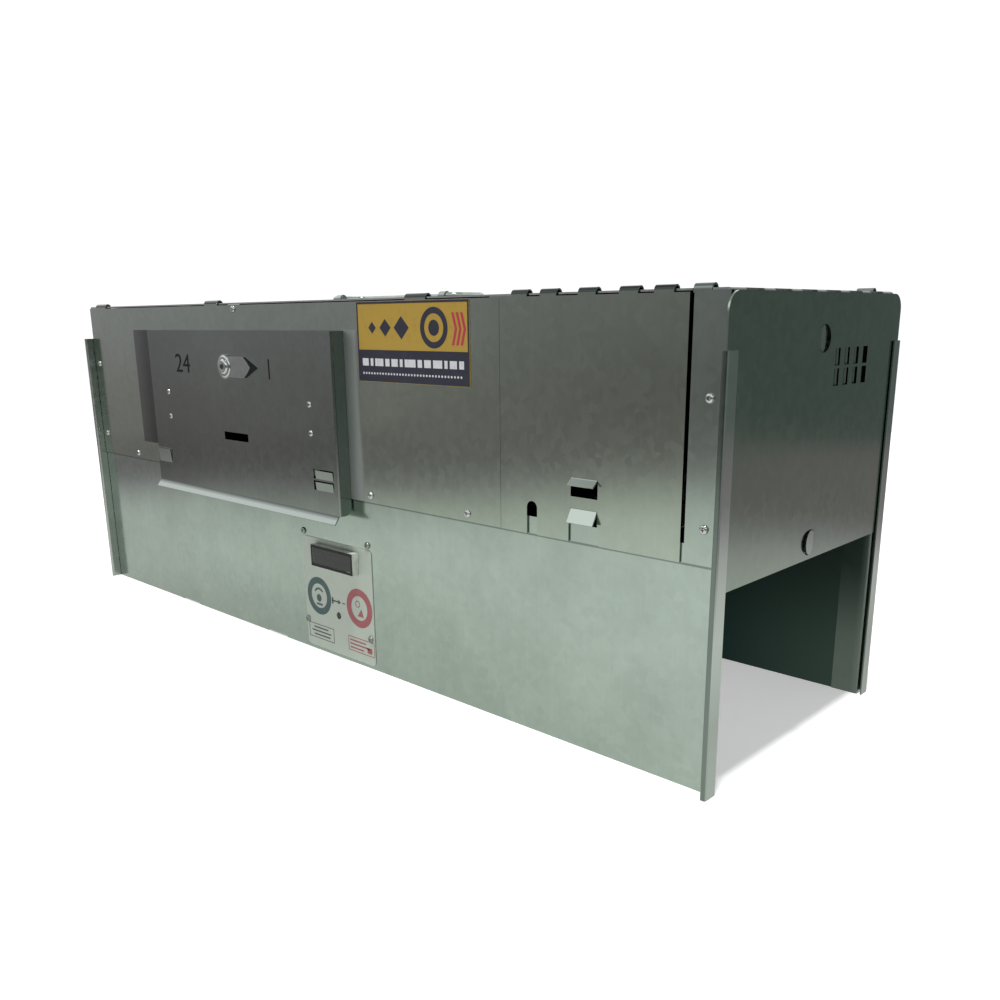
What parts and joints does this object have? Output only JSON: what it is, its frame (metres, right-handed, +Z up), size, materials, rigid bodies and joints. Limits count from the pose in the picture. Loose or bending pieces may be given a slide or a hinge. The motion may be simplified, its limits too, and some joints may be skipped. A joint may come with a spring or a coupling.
{
  "type": "electric rat trap",
  "caption": "Folded galvanised tunnel trap with sliding end gates, a hinged bait hatch, a lift-off door, a display and electrode plates.",
  "frame": {"origin": "centre of the tunnel on the ground", "axes": "+X along the tunnel to the right, +Y to the rear, +Z up"},
  "size_m": [1.0004, 0.3119, 0.3886],
  "materials": {
    "housing_zinc": "hot-dip galvanised, weathered",
    "roof_zinc": "galvanised sheet",
    "post_zinc": "galvanised strip",
    "cover_zinc": "galvanised sheet, smooth",
    "door_zinc": "galvanised sheet, handled",
    "gate_zinc": "galvanised sheet, smooth",
    "bright_fasteners": "bright zinc",
    "handle_zinc": "bright zinc rod",
    "pointer_zinc": "galvanised, painted tip",
    "stainless_plate": "stainless, 2B",
    "emblem_print": "printed, satin",
    "label_print": "printed film on plate",
    "display_plastic": "moulded",
    "display_glass": "clear window",
    "board_laminate": "glass-epoxy laminate",
    "black_plastic": "moulded",
    "bed_plastic": "sawn polyethylene",
    "battery_case": "moulded ABS",
    "potting_case": "moulded, potted"
  },
  "bodies": {
    "housing": {"front_side_panel": "housing_zinc", "rear_side_panel": "housing_zinc", "roof_sheet": "roof_zinc", "tunnel_roof": "roof_zinc", "bulkhead": "roof_zinc", "control_box": "roof_zinc", "front_right_guide_post": "post_zinc", "front_left_guide_post": "post_zinc", "rear_right_guide_post": "post_zinc", "rear_left_guide_post": "post_zinc", "front_cover": "cover_zinc", "cover_screws": "bright_fasteners", "post_screws": "bright_fasteners", "label_screws": "bright_fasteners", "board_spacers": "bright_fasteners", "board_nuts": "bright_fasteners", "electrode_screws": "bright_fasteners", "handle_saddles": "handle_zinc", "live_plates": "stainless_plate", "earth_plates": "stainless_plate", "bait_tray": "stainless_plate", "battery_strap": "stainless_plate", "emblem_plate": "emblem_print", "label_plate": "label_print", "display_housing": "display_plastic", "display_window": "display_glass", "control_board": "board_laminate", "switch_body": "black_plastic", "electrode_board": "bed_plastic", "battery": "battery_case", "high_voltage_unit": "potting_case"},
    "gate_right": {"right_gate": "gate_zinc"},
    "gate_left": {"left_gate": "gate_zinc"},
    "bait_hatch": {"hatch": "cover_zinc"},
    "door": {"door_cover": "door_zinc", "door_hooks": "door_zinc", "door_rivets": "bright_fasteners"},
    "door_latch": {"setting_pointer": "pointer_zinc", "pointer_screw": "bright_fasteners", "latch_tongue": "door_zinc", "pointer_nut": "bright_fasteners"},
    "bail": {"carrying_handle": "handle_zinc"},
    "button": {"push_button": "black_plastic"}
  },
  "joints": [
    {"name": "right_gate_slide", "type": "slide", "parent": "housing", "child": "gate_right", "axis": [0, 0, 1], "range_m": [-0.163, 0]},
    {"name": "left_gate_slide", "type": "slide", "parent": "housing", "child": "gate_left", "axis": [0, 0, 1], "range_m": [-0.12, 0.043]},
    {"name": "hatch_hinge", "type": "hinge", "parent": "housing", "child": "bait_hatch", "pos_m": [0.37, -0.1367, 0.37925], "axis": [-1, 0, 0], "range_deg": [0, 110]},
    {"name": "door_lift", "type": "slide", "parent": "housing", "child": "door", "axis": [0, 0, 1], "range_m": [0, 0.018]},
    {"name": "pointer_turn", "type": "hinge", "parent": "door", "child": "door_latch", "pos_m": [-0.13, -0.155, 0.311], "axis": [0, 1, 0], "range_deg": [0, 180]},
    {"name": "handle_swing", "type": "hinge", "parent": "housing", "child": "bail", "pos_m": [0, -0.022, 0.3838], "axis": [1, 0, 0], "range_deg": [0, 180]},
    {"name": "button_press", "type": "slide", "parent": "housing", "child": "button", "axis": [0, 1, 0], "range_m": [0, 0.002], "stiffness_N_per_m": 300}
  ]
}
